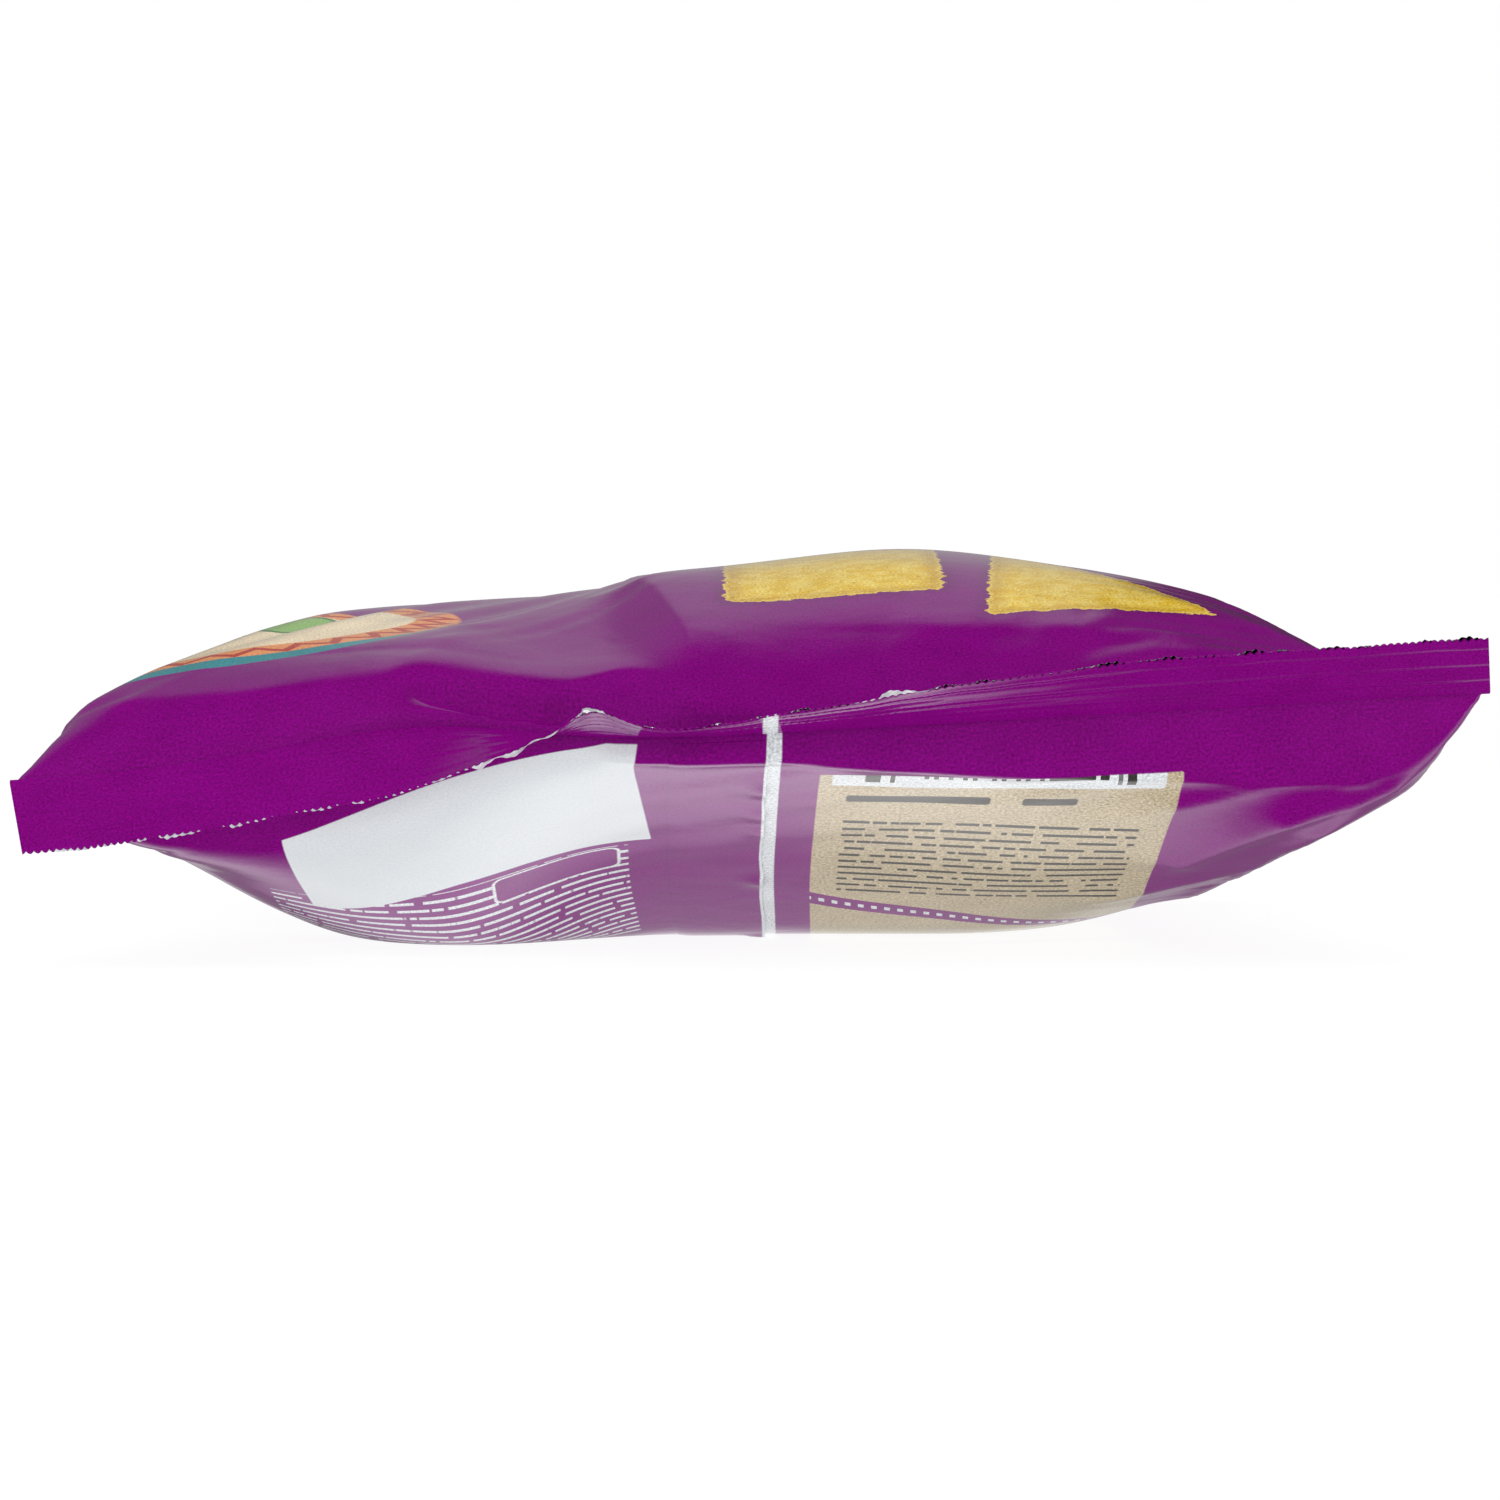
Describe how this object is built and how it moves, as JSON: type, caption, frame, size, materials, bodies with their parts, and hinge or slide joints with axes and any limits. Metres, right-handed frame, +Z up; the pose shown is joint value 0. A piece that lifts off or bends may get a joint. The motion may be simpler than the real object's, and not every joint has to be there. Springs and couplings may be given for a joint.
{
  "type": "bag of corn chips",
  "caption": "Sealed pillow bag of corn chips lying on its back, with crimped, toothed end strips, the near one twisted, and a folded seam down its back.",
  "frame": {"origin": "on the surface the bag rests on, under the middle of its box", "axes": "+X across the bag, to the right when its near end is looked at; +Y along the bag, from the near (bottom) end strip to the far one; +Z up, out of the printed front"},
  "size_m": [0.185, 0.2502, 0.0567],
  "materials": {
    "printed_film": "glossy printed film, purple, with a yellow, cream and white print"
  },
  "bodies": {
    "root": {"bag": "printed_film"}
  },
  "joints": []
}
